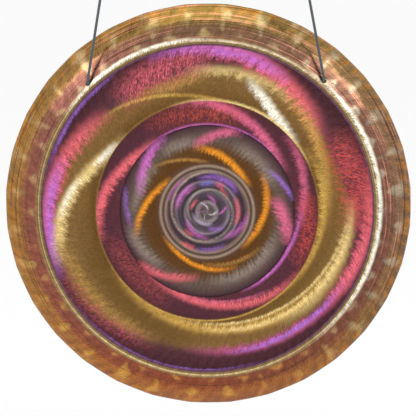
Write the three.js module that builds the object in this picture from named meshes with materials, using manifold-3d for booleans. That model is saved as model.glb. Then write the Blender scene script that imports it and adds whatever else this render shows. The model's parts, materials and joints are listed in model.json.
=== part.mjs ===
// Tam tam gong: one hammered bronze plate that hangs by two cords from two steel hooks.
//
// Millimetres. +X is the viewer's right, +Y is away from the viewer, +Z is up.
// The origin is midway between the top faces of the two hook plates.

import * as THREE from 'three';
import { mergeVertices } from 'three/addons/utils/BufferGeometryUtils.js';
import Module from 'manifold-3d';

const wasm = await Module();
wasm.setup();

const SIDES = [['left', -1], ['right', 1]];
const GAP = 0.3;

// The plate: a domed face, a soft shoulder and a rim that sweeps back.
const GONG_RADIUS = 400;
const SHEET_THICKNESS = 2.5;
const SHOULDER_RADIUS = 328;
const DOME_HEIGHT = 12;
const RIM_DEPTH = 42;
const RIM_BEND_RADIUS = 368;
const RIM_BEND_DEPTH = 8;
const FACE_RINGS = 9;
const RIM_RINGS = 9;
const PLATE_SEGMENTS = 72;

// The two holes in the rim, measured from the plate's centre, and their bushes.
const HOLE_OFFSET = 226;
const HOLE_RISE = 251;
const HOLE_RADIUS = 4;
const BUSH_BORE_RADIUS = 2.8;
const BUSH_LIP_RADIUS = 4.4;
const BUSH_LIP_THICKNESS = 0.8;
const BUSH_BACK_LENGTH = 1;

// The cords: a straight lead, a loop over the hook and a stopper knot behind the plate.
const CORD_RADIUS = 2.5;
const CORD_SIDES = 10;
const LEAD_LENGTH = 186;
const LEAD_STEPS = 14;
const BEND_CLEARANCE = 1.5;
const TAIL_START = 3.3;
const TOP_KNOT_LENGTH = 18;
const TOP_KNOT_RADIUS = 8;
const STOPPER_LENGTH = 13;
const STOPPER_RADIUS = 6.5;
const TAG_LENGTH = 12;
const LOOP_STEPS = 24;

// The hooks: a rod bent to a J and welded under a plate with two screw holes.
const HOOK_OFFSET = 182;
const ROD_RADIUS = 3;
const ROD_SIDES = 12;
const ROD_STEPS = 28;
const HOOK_BEND_RADIUS = 12;
const HOOK_BEND_DROP = 26;
const HOOK_TIP_RISE = 5;
const CORD_RUN = 250;
const SEAT_CLEARANCE = 0.9;
const BASE_WIDTH = 64;
const BASE_DEPTH = 26;
const BASE_THICKNESS = 3;
const BASE_CORNER = 5;
const SCREW_SPACING = 44;
const SCREW_HOLE_RADIUS = 2.6;

const bronze = new THREE.MeshStandardMaterial({ color: '#8a6238', roughness: 0.34, metalness: 1 });
const rubber = new THREE.MeshStandardMaterial({ color: '#17181a', roughness: 0.7, metalness: 0 });
const cordFibre = new THREE.MeshStandardMaterial({ color: '#4a4f52', roughness: 0.75, metalness: 0 });
const steel = new THREE.MeshStandardMaterial({ color: '#a9acb0', roughness: 0.3, metalness: 1 });

function solidFrom(geometry) {
  const bare = geometry.clone();
  bare.deleteAttribute('normal');
  bare.deleteAttribute('uv');
  const merged = mergeVertices(bare, 1e-4);
  const corners = [];
  for (let i = 0; i < merged.index.count; i += 3) {
    const [a, b, c] = [0, 1, 2].map((k) => merged.index.getX(i + k));
    if (a !== b && b !== c && c !== a) corners.push(a, b, c);
  }
  return new wasm.Manifold(new wasm.Mesh({
    numProp: 3,
    vertProperties: new Float32Array(merged.attributes.position.array),
    triVerts: new Uint32Array(corners),
  }));
}

function geometryFrom(solid) {
  const mesh = solid.getMesh();
  const geometry = new THREE.BufferGeometry();
  geometry.setAttribute('position', new THREE.BufferAttribute(new Float32Array(mesh.vertProperties), 3));
  geometry.setIndex(new THREE.BufferAttribute(new Uint32Array(mesh.triVerts), 1));
  geometry.computeVertexNormals();
  return geometry;
}

function namedMesh(name, geometry, material) {
  const mesh = new THREE.Mesh(geometry, material);
  mesh.name = name;
  return mesh;
}

// A round tube whose centre line is the given curve.
function tubeAlong(curve, radius, sides, steps) {
  const section = new THREE.Shape();
  for (let i = 0; i < sides; i += 1) {
    const angle = (2 * Math.PI * i) / sides;
    const move = i === 0 ? 'moveTo' : 'lineTo';
    section[move](radius * Math.cos(angle), radius * Math.sin(angle));
  }
  return new THREE.ExtrudeGeometry(section, { steps, extrudePath: curve, bevelEnabled: false });
}

// A solid of revolution about Y. The profile runs outwards, then along +Y, then back to the axis.
function turned(profile, segments) {
  const points = profile.map(([radius, depth]) => new THREE.Vector2(radius, depth));
  return new THREE.LatheGeometry(points, segments);
}

// ---- the plate's section -------------------------------------------------------------------

const rimCurve = new THREE.QuadraticBezierCurve(
  new THREE.Vector2(SHOULDER_RADIUS, 0),
  new THREE.Vector2(RIM_BEND_RADIUS, RIM_BEND_DEPTH),
  new THREE.Vector2(GONG_RADIUS, RIM_DEPTH),
);

function facePoint(fraction) {
  return new THREE.Vector2(fraction * SHOULDER_RADIUS, -DOME_HEIGHT * (1 - fraction * fraction));
}

function frontLine() {
  const points = [];
  for (let i = 0; i < FACE_RINGS; i += 1) points.push(facePoint(i / FACE_RINGS));
  return points.concat(rimCurve.getPoints(RIM_RINGS));
}

// The same line pushed back by the sheet's thickness, square to the sheet.
function backLine(front) {
  return front.map((point, i) => {
    const before = front[Math.max(i - 1, 0)];
    const after = front[Math.min(i + 1, front.length - 1)];
    const along = after.clone().sub(before).normalize();
    const shift = new THREE.Vector2(-along.y, along.x).multiplyScalar(SHEET_THICKNESS);
    return i === 0 ? new THREE.Vector2(0, point.y + SHEET_THICKNESS) : point.clone().add(shift);
  });
}

// How far behind the shoulder the plate's centre of mass lies.
function balanceDepth(front, back) {
  let area = 0;
  let moment = 0;
  for (let i = 1; i < front.length; i += 1) {
    const corners = [front[i - 1], front[i], back[i], back[i - 1]];
    const radius = corners.reduce((sum, p) => sum + p.x, 0) / 4;
    const depth = corners.reduce((sum, p) => sum + p.y, 0) / 4;
    const strip = radius * front[i].distanceTo(front[i - 1]);
    area += strip;
    moment += strip * depth;
  }
  return moment / area;
}

const front = frontLine();
const back = backLine(front);

// ---- where the cords bend round the holes, in the plate's own frame -----------------------

const holeRadius = Math.hypot(HOLE_OFFSET, HOLE_RISE);
const holeAngle = Math.atan2(HOLE_RISE, HOLE_OFFSET);

function rimParameterAt(radius) {
  let [low, high] = [0, 1];
  while (high - low > 1e-6) {
    const middle = (low + high) / 2;
    if (rimCurve.getPoint(middle).x < radius) low = middle;
    else high = middle;
  }
  return low;
}

const holeParameter = rimParameterAt(holeRadius);
const holeDepth = rimCurve.getPoint(holeParameter).y;
const rimTangent = rimCurve.getTangent(holeParameter);
const rimSlope = Math.atan2(rimTangent.y, rimTangent.x);
const lipFace = BUSH_LIP_THICKNESS + GAP;
const standOff = CORD_RADIUS + BEND_CLEARANCE + lipFace;
const bendRadius = holeRadius + standOff * Math.sin(rimSlope);
const bendPoint = {
  x: bendRadius * Math.cos(holeAngle),
  y: holeDepth - standOff * Math.cos(rimSlope),
  z: bendRadius * Math.sin(holeAngle),
};

// The plate hangs with its centre of mass right under the line through both bends.
const hangTilt = Math.atan2(balanceDepth(front, back) - bendPoint.y, bendPoint.z);
const cordLean = Math.asin((bendPoint.x - HOOK_OFFSET) / CORD_RUN);
const bendHeight = -HOOK_BEND_DROP - CORD_RUN * Math.cos(cordLean);

// ---- pieces ---------------------------------------------------------------------------------

// A frame at a bend: its +Y axis runs back through the hole, square to the sheet.
function bendFrame(side) {
  const frame = new THREE.Group();
  const inward = new THREE.Vector3(-side * Math.cos(holeAngle), 0, -Math.sin(holeAngle));
  const through = new THREE.Vector3(0, Math.cos(rimSlope), 0).addScaledVector(inward, Math.sin(rimSlope));
  frame.quaternion.setFromUnitVectors(new THREE.Vector3(0, 1, 0), through);
  frame.position.set(side * bendPoint.x, bendPoint.y, bendPoint.z);
  frame.updateMatrix();
  return frame;
}

function gongPlate() {
  const edgeMiddle = front.at(-1).clone().lerp(back.at(-1), 0.5);
  const edgeOut = front.at(-1).clone().sub(front.at(-2)).setLength(SHEET_THICKNESS / 3);
  const profile = [...front, edgeMiddle.add(edgeOut), ...[...back].reverse()];
  let plate = solidFrom(new THREE.LatheGeometry(profile, PLATE_SEGMENTS));
  for (const [, side] of SIDES) {
    const drill = new THREE.CylinderGeometry(HOLE_RADIUS, HOLE_RADIUS, 8 * SHEET_THICKNESS, 20);
    drill.translate(0, standOff, 0);
    drill.applyMatrix4(bendFrame(side).matrix);
    plate = plate.subtract(solidFrom(drill));
  }
  return namedMesh('gong_plate', geometryFrom(plate), bronze);
}

// A rubber bush that keeps the bronze edge off the cord: a lip in front and a sleeve in the hole.
function bush(name) {
  const lipStart = standOff - lipFace;
  const lipEnd = lipStart + BUSH_LIP_THICKNESS;
  const sleeveEnd = standOff + SHEET_THICKNESS + BUSH_BACK_LENGTH;
  const sleeveRadius = HOLE_RADIUS - GAP;
  const profile = [
    [BUSH_BORE_RADIUS, lipStart], [BUSH_LIP_RADIUS, lipStart], [BUSH_LIP_RADIUS, lipEnd],
    [sleeveRadius, lipEnd], [sleeveRadius, sleeveEnd], [BUSH_BORE_RADIUS, sleeveEnd],
    [BUSH_BORE_RADIUS, lipStart],
  ];
  return namedMesh(name, turned(profile, 24), rubber);
}

// The barrel of a tight knot about the Y axis.
function knotProfile(start, length, radius) {
  const profile = [[0, start]];
  for (let i = 0; i <= 6; i += 1) {
    const swell = Math.sin((Math.PI * (i + 1)) / 8);
    profile.push([radius * swell ** 0.6, start + (length * i) / 6]);
  }
  return profile;
}

const stopperStart = standOff + SHEET_THICKNESS + BUSH_BACK_LENGTH + GAP;

function cordTail(name) {
  const end = stopperStart - GAP;
  const path = new THREE.LineCurve3(new THREE.Vector3(0, TAIL_START, 0), new THREE.Vector3(0, end, 0));
  return namedMesh(name, tubeAlong(path, CORD_RADIUS, CORD_SIDES, 1), cordFibre);
}

function stopperKnot(name) {
  const knotEnd = stopperStart + STOPPER_LENGTH;
  const profile = knotProfile(stopperStart, STOPPER_LENGTH, STOPPER_RADIUS);
  profile.push([CORD_RADIUS, knotEnd], [CORD_RADIUS, knotEnd + TAG_LENGTH], [0, knotEnd + TAG_LENGTH]);
  return namedMesh(name, turned(profile, 16), cordFibre);
}

// A frame at a bend whose +Y axis runs up along the straight cord to the hook.
function cordFrame(side) {
  const frame = new THREE.Group();
  const up = new THREE.Vector3(-side * Math.sin(cordLean), 0, Math.cos(cordLean));
  const across = new THREE.Vector3(Math.cos(cordLean), 0, side * Math.sin(cordLean));
  frame.quaternion.setFromRotationMatrix(
    new THREE.Matrix4().makeBasis(across, up, new THREE.Vector3().crossVectors(across, up)),
  );
  frame.position.set(side * bendPoint.x, 0, bendHeight);
  return frame;
}

function cordLead(name) {
  const path = new THREE.LineCurve3(new THREE.Vector3(0, 0, 0), new THREE.Vector3(0, LEAD_LENGTH, 0));
  return namedMesh(name, tubeAlong(path, CORD_RADIUS, CORD_SIDES, LEAD_STEPS), cordFibre);
}

function topKnot(name) {
  const profile = knotProfile(LEAD_LENGTH + GAP, TOP_KNOT_LENGTH, TOP_KNOT_RADIUS);
  profile.push([0, LEAD_LENGTH + GAP + TOP_KNOT_LENGTH]);
  return namedMesh(name, turned(profile, 16), cordFibre);
}

// The loop runs from the knot up one side of the rod, over it and down the other side.
class LoopCurve extends THREE.Curve {
  getPoint(t, target = new THREE.Vector3()) {
    const legStart = LEAD_LENGTH + TOP_KNOT_LENGTH + 2 * GAP;
    const rodHeight = CORD_RUN - HOOK_BEND_RADIUS;
    const bend = ROD_RADIUS + SEAT_CLEARANCE + CORD_RADIUS;
    const leg = rodHeight - legStart;
    const total = 2 * leg + Math.PI * bend;
    const run = t * total;
    if (run < leg) return target.set(0, legStart + run, bend);
    if (run > total - leg) return target.set(0, legStart + total - run, -bend);
    const angle = (run - leg) / bend;
    return target.set(0, rodHeight + bend * Math.sin(angle), bend * Math.cos(angle));
  }
}

function topLoop(name) {
  return namedMesh(name, tubeAlong(new LoopCurve(), CORD_RADIUS, CORD_SIDES, LOOP_STEPS), cordFibre);
}

// The half circle at the foot of a hook, from its shank round to its tip.
class HookBend extends THREE.Curve {
  constructor(side) {
    super();
    this.side = side;
  }

  getPoint(t, target = new THREE.Vector3()) {
    const angle = Math.PI * t;
    const x = this.side * (HOOK_OFFSET + HOOK_BEND_RADIUS * Math.cos(angle));
    return target.set(x, 0, -HOOK_BEND_DROP - HOOK_BEND_RADIUS * Math.sin(angle));
  }
}

// A hook in the XZ plane: shank, half-circle seat and a short tip that points up.
function hookRod(side) {
  const shankX = side * (HOOK_OFFSET + HOOK_BEND_RADIUS);
  const tipX = side * (HOOK_OFFSET - HOOK_BEND_RADIUS);
  const path = new THREE.CurvePath();
  path.add(new THREE.LineCurve3(
    new THREE.Vector3(shankX, 0, -BASE_THICKNESS / 2),
    new THREE.Vector3(shankX, 0, -HOOK_BEND_DROP),
  ));
  path.add(new HookBend(side));
  path.add(new THREE.LineCurve3(
    new THREE.Vector3(tipX, 0, -HOOK_BEND_DROP),
    new THREE.Vector3(tipX, 0, -HOOK_BEND_DROP + HOOK_TIP_RISE),
  ));
  return tubeAlong(path, ROD_RADIUS, ROD_SIDES, ROD_STEPS);
}

function roundedRectangle(width, depth, corner) {
  const shape = new THREE.Shape();
  const [x, y] = [width / 2 - corner, depth / 2 - corner];
  shape.absarc(x, y, corner, 0, Math.PI / 2);
  shape.absarc(-x, y, corner, Math.PI / 2, Math.PI);
  shape.absarc(-x, -y, corner, Math.PI, 1.5 * Math.PI);
  shape.absarc(x, -y, corner, 1.5 * Math.PI, 2 * Math.PI);
  return shape;
}

function hookBase(side) {
  const outline = roundedRectangle(BASE_WIDTH, BASE_DEPTH, BASE_CORNER);
  for (const end of [-1, 1]) {
    const hole = new THREE.Path();
    hole.absarc((end * SCREW_SPACING) / 2, 0, SCREW_HOLE_RADIUS, 0, 2 * Math.PI, true);
    outline.holes.push(hole);
  }
  const settings = { depth: BASE_THICKNESS, bevelEnabled: false, curveSegments: 6 };
  const base = new THREE.ExtrudeGeometry(outline, settings);
  base.translate(side * (HOOK_OFFSET + HOOK_BEND_RADIUS), 0, -BASE_THICKNESS);
  return base;
}

function hook(name, side) {
  const solid = solidFrom(hookBase(side)).add(solidFrom(hookRod(side)));
  return namedMesh(name, geometryFrom(solid), steel);
}

// ---- the assembly ---------------------------------------------------------------------------

const gong = new THREE.Group();
gong.position.set(0, -bendPoint.y, -bendPoint.z);
gong.add(gongPlate());

const hanging = new THREE.Group();
hanging.position.set(0, 0, bendHeight);
hanging.rotation.x = -hangTilt;
hanging.add(gong);

const tamTam = new THREE.Group();
tamTam.add(hanging);

for (const [word, side] of SIDES) {
  const atBend = bendFrame(side);
  atBend.add(bush(`${word}_hole_bush`), cordTail(`${word}_cord_tail`), stopperKnot(`${word}_stopper_knot`));
  gong.add(atBend);

  const alongCord = cordFrame(side);
  alongCord.add(cordLead(`${word}_cord_lead`), topKnot(`${word}_top_knot`), topLoop(`${word}_cord_loop`));
  tamTam.add(alongCord, hook(`${word}_hook`, side));
}

export default tamTam;
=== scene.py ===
# Tam tam gong: a hammered bronze plate hung by two braided cords from steel hooks.
# Metres, in the model's own frame: +X the viewer's right, +Y away, +Z up, origin at the hanging point.

import json
from math import atan2, cos, pi, radians, sin, tan

import bmesh
import bpy
from mathutils import Euler, Matrix, Vector


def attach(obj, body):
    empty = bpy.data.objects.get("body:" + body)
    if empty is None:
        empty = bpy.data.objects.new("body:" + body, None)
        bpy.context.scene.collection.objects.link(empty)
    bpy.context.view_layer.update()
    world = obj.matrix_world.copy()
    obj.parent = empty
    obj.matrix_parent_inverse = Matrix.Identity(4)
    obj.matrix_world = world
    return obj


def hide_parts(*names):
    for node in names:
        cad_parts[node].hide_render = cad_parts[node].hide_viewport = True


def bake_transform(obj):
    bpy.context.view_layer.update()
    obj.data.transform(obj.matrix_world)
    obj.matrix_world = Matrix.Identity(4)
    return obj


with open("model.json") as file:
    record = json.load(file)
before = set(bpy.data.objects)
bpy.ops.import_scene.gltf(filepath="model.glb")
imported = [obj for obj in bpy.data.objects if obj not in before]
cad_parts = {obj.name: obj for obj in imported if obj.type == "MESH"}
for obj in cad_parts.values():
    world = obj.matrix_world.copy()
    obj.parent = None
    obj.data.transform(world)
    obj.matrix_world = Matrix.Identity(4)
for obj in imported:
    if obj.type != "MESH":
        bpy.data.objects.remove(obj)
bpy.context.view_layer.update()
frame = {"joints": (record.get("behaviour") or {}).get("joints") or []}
scene = bpy.context.scene
scene.view_settings.view_transform = "Standard"

# ---- Camera -------------------------------------------------------------------------------
# Three metres in front of the gong, a little above it and a touch to its right, with a long lens
# that holds the whole plate and the cords' lower ends.

CAMERA_DISTANCE = 3.0
CAMERA_AZIMUTH = radians(1.6)
CAMERA_ELEVATION = radians(11.26)
CAMERA_ROLL = radians(-0.78)
CAMERA_AIM = Vector((0.0014, 0.0, -0.5186))
CAMERA_LENS = 133.4

camera = bpy.data.objects.new("camera", bpy.data.cameras.new("camera"))
camera.data.lens = CAMERA_LENS
camera.data.sensor_width = 36
camera_back = Vector((
    sin(CAMERA_AZIMUTH) * cos(CAMERA_ELEVATION),
    -cos(CAMERA_AZIMUTH) * cos(CAMERA_ELEVATION),
    sin(CAMERA_ELEVATION),
))
camera_turn = camera_back.to_track_quat("Z", "Y").to_matrix() @ Matrix.Rotation(CAMERA_ROLL, 3, "Z")
camera.matrix_world = Matrix.Translation(CAMERA_AIM + CAMERA_DISTANCE * camera_back) @ camera_turn.to_4x4()
scene.collection.objects.link(camera)
scene.camera = camera

# ---- Cords --------------------------------------------------------------------------------
# Each is one length of 5 mm braided synthetic cord: a stopper knot behind the plate, up through the
# hole, straight to a barrel knot, and a loop over the hook. The pull of the gong keeps it taut.

mm = 0.001
SIDES = (("left", -1), ("right", 1))
CORD_RADIUS = 2.5 * mm
LEAD_LENGTH = 186 * mm
TOP_KNOT_LENGTH = 18 * mm
ROD_CENTRE_RUN = 238 * mm
LOOP_RADIUS = 6.4 * mm
HOLE_BEND_RADIUS = 6.5 * mm
TAIL_RUN = 11 * mm
HOLE_ANGLE = atan2(251, 226)
RIM_SLOPE_AT_HOLE = radians(16.13)
HANG_TILT = radians(1.4647)
BEND_OFFSET = 226.942 * mm
joint_at = {joint["name"]: Vector(joint["pos_m"]) for joint in frame["joints"]}
CORD_LEAN = radians(10.356)


def linear(hex_colour):
    """An sRGB hex colour as linear RGBA."""
    parts = [int(hex_colour[i:i + 2], 16) / 255 for i in (1, 3, 5)]
    return tuple(p / 12.92 if p <= 0.04045 else ((p + 0.055) / 1.055) ** 2.4 for p in parts) + (1,)


def add(tree, kind, inputs=None, stops=(), **settings):
    """Adds a node, sets it and fills its sockets. A socket or node given as an input is linked.
    Stops are the (position, hex colour) pairs of a colour ramp."""
    node = tree.nodes.new(kind)
    for name, value in settings.items():
        setattr(node, name, value)
    for _ in stops[2:]:
        node.color_ramp.elements.new(1.0)
    for i, (spot, hex_colour) in enumerate(stops):
        node.color_ramp.elements[i].position = spot
        node.color_ramp.elements[i].color = linear(hex_colour)
    for key, value in (inputs or {}).items():
        if isinstance(value, bpy.types.Node):
            value = value.outputs[0]
        if isinstance(value, bpy.types.NodeSocket):
            tree.links.new(value, node.inputs[key])
        else:
            node.inputs[key].default_value = value
    return node


def arc(centre, start, turn_axis, angle, steps):
    """Points that swing round centre from start."""
    return [
        centre + Matrix.Rotation(angle * i / steps, 3, turn_axis) @ (start - centre)
        for i in range(steps + 1)
    ]


def hole_axis(side):
    """Which way a hole runs back through the plate, square to the sheet, in the plate's own frame."""
    inward = Vector((-side * cos(HOLE_ANGLE), 0, -sin(HOLE_ANGLE)))
    return Vector((0, cos(RIM_SLOPE_AT_HOLE), 0)) + inward * sin(RIM_SLOPE_AT_HOLE)


def cord_frame(side):
    """Where the cord bends at its hole, which way it runs up, and which way it goes through the plate."""
    bend = Vector((side * BEND_OFFSET, 0, joint_at["gong_tilt"].z))
    up = Vector((-side * sin(CORD_LEAN), 0, cos(CORD_LEAN)))
    through = hole_axis(side)
    through.rotate(Euler((-HANG_TILT, 0, 0)))
    return bend, up, through


def cord_route(side):
    """The cord's centre line, from inside its stopper knot to the end of its loop."""
    bend, up, through = cord_frame(side)
    back = Vector((0, 1, 0))
    turn = pi - up.angle(through)
    reach = HOLE_BEND_RADIUS * tan(turn / 2)
    turn_axis = through.cross(up).normalized()
    start = bend + through * reach
    centre = start + turn_axis.cross(through).normalized() * HOLE_BEND_RADIUS
    points = [bend + through * TAIL_RUN, bend + through * (TAIL_RUN + reach) / 2]
    points += arc(centre, start, -turn_axis, turn, 8)
    points += [bend + up * LEAD_LENGTH * i / 16 for i in range(1, 17)]
    knot_top = LEAD_LENGTH + TOP_KNOT_LENGTH
    points.append(bend + up * (LEAD_LENGTH + TOP_KNOT_LENGTH / 2) + back * LOOP_RADIUS / 2)
    points.append(bend + up * knot_top + back * LOOP_RADIUS)
    points.append(bend + up * (knot_top + ROD_CENTRE_RUN) / 2 + back * LOOP_RADIUS)
    seat = bend + up * ROD_CENTRE_RUN
    across = back.cross(up)
    points += arc(seat, seat + back * LOOP_RADIUS, across, -pi, 12)
    points.append(bend + up * (knot_top + ROD_CENTRE_RUN) / 2 - back * LOOP_RADIUS)
    points.append(bend + up * knot_top - back * LOOP_RADIUS)
    points.append(bend + up * (LEAD_LENGTH + TOP_KNOT_LENGTH / 2) - back * LOOP_RADIUS / 2)
    return points


braid = bpy.data.node_groups.new("braided_cord", "GeometryNodeTree")
for label, kind, value in (
    ("Route", "NodeSocketGeometry", None),
    ("Cord radius", "NodeSocketFloat", CORD_RADIUS),
    ("Strand relief", "NodeSocketFloat", 0.22 * mm),
    ("Strands each way", "NodeSocketFloat", 8.0),
    ("Braid pitch", "NodeSocketFloat", 20 * mm),
    ("Step", "NodeSocketFloat", 0.9 * mm),
    ("Material", "NodeSocketMaterial", None),
):
    socket = braid.interface.new_socket(name=label, in_out="INPUT", socket_type=kind)
    if value is not None:
        socket.default_value = value
braid.interface.new_socket(name="Cord", in_out="OUTPUT", socket_type="NodeSocketGeometry")
given = add(braid, "NodeGroupInput").outputs
route = add(braid, "GeometryNodeMeshToCurve", {"Mesh": given["Route"]})
smooth = add(braid, "GeometryNodeCurveSplineType", {"Curve": route}, spline_type="POLY")
even = add(braid, "GeometryNodeResampleCurve", {"Curve": smooth, "Length": given["Step"]}, mode="LENGTH")
along = add(braid, "GeometryNodeSplineParameter").outputs["Length"]
kept_along = add(braid, "GeometryNodeCaptureAttribute", {"Geometry": even}, domain="POINT")
kept_along.capture_items.new("FLOAT", "Along")
braid.links.new(along, kept_along.inputs["Along"])
ring = add(braid, "GeometryNodeCurvePrimitiveCircle", {"Resolution": 32, "Radius": given["Cord radius"]})
round_the_ring = add(braid, "GeometryNodeSplineParameter").outputs["Factor"]
kept_round = add(braid, "GeometryNodeCaptureAttribute", {"Geometry": ring}, domain="POINT")
kept_round.capture_items.new("FLOAT", "Round")
braid.links.new(round_the_ring, kept_round.inputs["Round"])
tube = add(braid, "GeometryNodeCurveToMesh", {
    "Curve": kept_along.outputs["Geometry"],
    "Profile Curve": kept_round.outputs["Geometry"],
    "Fill Caps": True,
})
laps = add(braid, "ShaderNodeMath", {
    0: kept_along.outputs["Along"], 1: given["Braid pitch"]}, operation="DIVIDE")
strand_laps = add(braid, "ShaderNodeMath", {0: laps, 1: given["Strands each way"]}, operation="MULTIPLY")
strand_turns = add(braid, "ShaderNodeMath", {
    0: kept_round.outputs["Round"], 1: given["Strands each way"]}, operation="MULTIPLY")
rising = add(braid, "ShaderNodeMath", {0: strand_turns, 1: strand_laps}, operation="ADD")
falling = add(braid, "ShaderNodeMath", {0: strand_turns, 1: strand_laps}, operation="SUBTRACT")
ridges = []
counts = []
for family in (rising, falling):
    part = add(braid, "ShaderNodeMath", {0: family, 1: pi}, operation="MULTIPLY")
    wave = add(braid, "ShaderNodeMath", {0: part}, operation="SINE")
    ridges.append(add(braid, "ShaderNodeMath", {0: wave}, operation="ABSOLUTE"))
    counts.append(add(braid, "ShaderNodeMath", {0: family}, operation="FLOOR"))
crossing = add(braid, "ShaderNodeMath", {0: counts[0], 1: counts[1]}, operation="ADD")
over = add(braid, "ShaderNodeMath", {0: crossing, 1: 2.0}, operation="FLOORED_MODULO")
relief = add(braid, "ShaderNodeMix", {0: over, 2: ridges[0], 3: ridges[1]}, data_type="FLOAT")
height = add(braid, "ShaderNodeMath", {0: relief, 1: 0.5}, operation="SUBTRACT")
lift = add(braid, "ShaderNodeMath", {0: height, 1: given["Strand relief"]}, operation="MULTIPLY")
outward = add(braid, "ShaderNodeVectorMath", {
    0: add(braid, "GeometryNodeInputNormal"), "Scale": lift}, operation="SCALE")
woven = add(braid, "GeometryNodeSetPosition", {"Geometry": tube, "Offset": outward})
marked = add(braid, "GeometryNodeStoreNamedAttribute", {
    "Geometry": woven, "Name": "strand_height", "Value": relief}, data_type="FLOAT", domain="POINT")
soft = add(braid, "GeometryNodeSetShadeSmooth", {"Geometry": marked})
single = add(braid, "GeometryNodeRealizeInstances", {"Geometry": soft})
dressed = add(braid, "GeometryNodeSetMaterial", {"Geometry": single, "Material": given["Material"]})
add(braid, "NodeGroupOutput", {"Cord": dressed})

# Braided polyester: matt and dark grey, with painted shade in the grooves between strands, so it is lighter
# where the strands stand proud.
braided_polyester = bpy.data.materials.new("braided_polyester")
braided_polyester.use_nodes = True
tree = braided_polyester.node_tree
shader = tree.nodes["Principled BSDF"]
shader.inputs["Roughness"].default_value = 0.72
shader.inputs["Sheen Weight"].default_value = 0.25
strand_height = add(tree, "ShaderNodeAttribute", attribute_name="strand_height")
strand_shaded_colour = add(tree, "ShaderNodeMix", {
    0: strand_height.outputs["Fac"], 6: linear("#1d2023"), 7: linear("#565c60")}, data_type="RGBA")
tree.links.new(strand_shaded_colour.outputs[2], shader.inputs["Base Color"])


def mesh_object(name, mesh):
    obj = bpy.data.objects.new(name, mesh)
    scene.collection.objects.link(obj)
    return obj


def finished(obj, tree, material, **values):
    """Runs a node tree on an object and keeps the result as its plain mesh."""
    modifier = obj.modifiers.new(tree.name, "NODES")
    modifier.node_group = tree
    sockets = {item.name: item.identifier for item in tree.interface.items_tree if item.in_out == "INPUT"}
    modifier[sockets["Material"]] = material
    for label, value in values.items():
        modifier[sockets[label.replace("_", " ").capitalize()]] = value
    evaluated = obj.evaluated_get(bpy.context.evaluated_depsgraph_get())
    mesh = bpy.data.meshes.new_from_object(evaluated)
    obj.modifiers.remove(modifier)
    obj.data = mesh
    return obj


def knot(name, centre, axis, radius, turns, body, nodes):
    """A barrel knot: the cord wrapped tightly round itself along the axis."""
    side = Vector((1, 0, 0)).cross(axis).normalized()
    other = axis.cross(side)
    steps = round(turns * 20)
    points = []
    for i in range(-4, steps + 5):
        share = min(max(i / steps, 0), 1)
        sunk = radius * (1 - 0.55 * max(-i, i - steps, 0) / 4)
        angle = 2 * pi * turns * i / steps
        along = (share - 0.5) * turns * 2 * CORD_RADIUS
        points.append(centre + axis * along + sunk * (side * cos(angle) + other * sin(angle)))
    mesh = bpy.data.meshes.new(name)
    mesh.from_pydata(points, [(i, i + 1) for i in range(len(points) - 1)], [])
    piece = finished(mesh_object(name, mesh), braid, braided_polyester)
    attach(piece, body)
    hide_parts(*nodes)
    return piece


for word, side in SIDES:
    points = cord_route(side)
    mesh = bpy.data.meshes.new(f"{word}_cord")
    mesh.from_pydata(points, [(i, i + 1) for i in range(len(points) - 1)], [])
    cord = finished(mesh_object(f"{word}_cord", mesh), braid, braided_polyester)
    bend, up, through = cord_frame(side)
    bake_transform(cord)
    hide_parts(f"{word}_cord_lead", f"{word}_cord_loop", f"{word}_cord_tail")
    top_knot = knot(
        f"{word}_barrel_knot", bend + up * (LEAD_LENGTH + TOP_KNOT_LENGTH / 2), up,
        5.3 * mm, 3.4, "cords", [f"{word}_top_knot"])
    stopper = knot(
        f"{word}_stopper", bend + through * 15.4 * mm, through,
        4 * mm, 2.4, "gong", [f"{word}_stopper_knot"])

# ---- The plate ----------------------------------------------------------------------------
# One bronze sheet, spun and hammered to a domed face and a swept-back rim, then skimmed on a lathe
# and heated to its violet, rose and gold colours. It hangs by its two holes, tipped back a little.

GONG_RADIUS = 400 * mm
SHEET = 2.5 * mm
SHOULDER = 328 * mm
RIM_BEND = Vector((368, 8)) * mm
RIM_EDGE = Vector((400, 41.5)) * mm
PLATE_CENTRE = Vector((0, 2.531, -252.047)) * mm

# The face in millimetres: its dome, the creases left by the lathe from the boss out to the shoulder,
# and how deep the face dips between them.
DOME = 12
CREASES = [0, 21.5, 31, 52.6, 76, 94.6, 169.5, 216, 321, 328]
DIPS = [0.0, 0.5, 0.8, 0.9, 0.8, 2.2, 1.4, 3.2, 0.6]


def face_depth(radius):
    """Depth of the face's front behind the shoulder, in millimetres."""
    dome = -DOME * (1 - (radius / CREASES[-1]) ** 2)
    for inner, outer, dip in zip(CREASES, CREASES[1:], DIPS):
        if inner <= radius <= outer:
            share = (2 * radius - inner - outer) / (outer - inner)
            return dome + dip * (1 - share * share)
    return dome


FACE_STEP = 7
RIM_STEPS = 30


def plate_section():
    """The front line of the section, from the centre out to the rim's edge."""
    line = []
    for inner, outer in zip(CREASES, CREASES[1:]):
        steps = max(2, round((outer - inner) / FACE_STEP))
        line += [inner + (outer - inner) * i / steps for i in range(steps)]
    points = [Vector((radius, face_depth(radius))) * mm for radius in line]
    start = Vector((SHOULDER, 0))
    for i in range(RIM_STEPS + 1):
        t = i / RIM_STEPS
        points.append(start * (1 - t) ** 2 + RIM_BEND * 2 * t * (1 - t) + RIM_EDGE * t * t)
    return points


def with_thickness(points, thickness):
    """Closes the front line round the edge and back behind it."""
    back = []
    for i, point in enumerate(points):
        along = (points[min(i + 1, len(points) - 1)] - points[max(i - 1, 0)]).normalized()
        normal = Vector((-along.y, along.x))
        back.append(point + normal * thickness if i else point + Vector((0, thickness)))
    edge = (points[-1] + back[-1]) / 2 + (points[-1] - points[-2]).normalized() * thickness / 3
    return points + [edge] + back[::-1]


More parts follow.
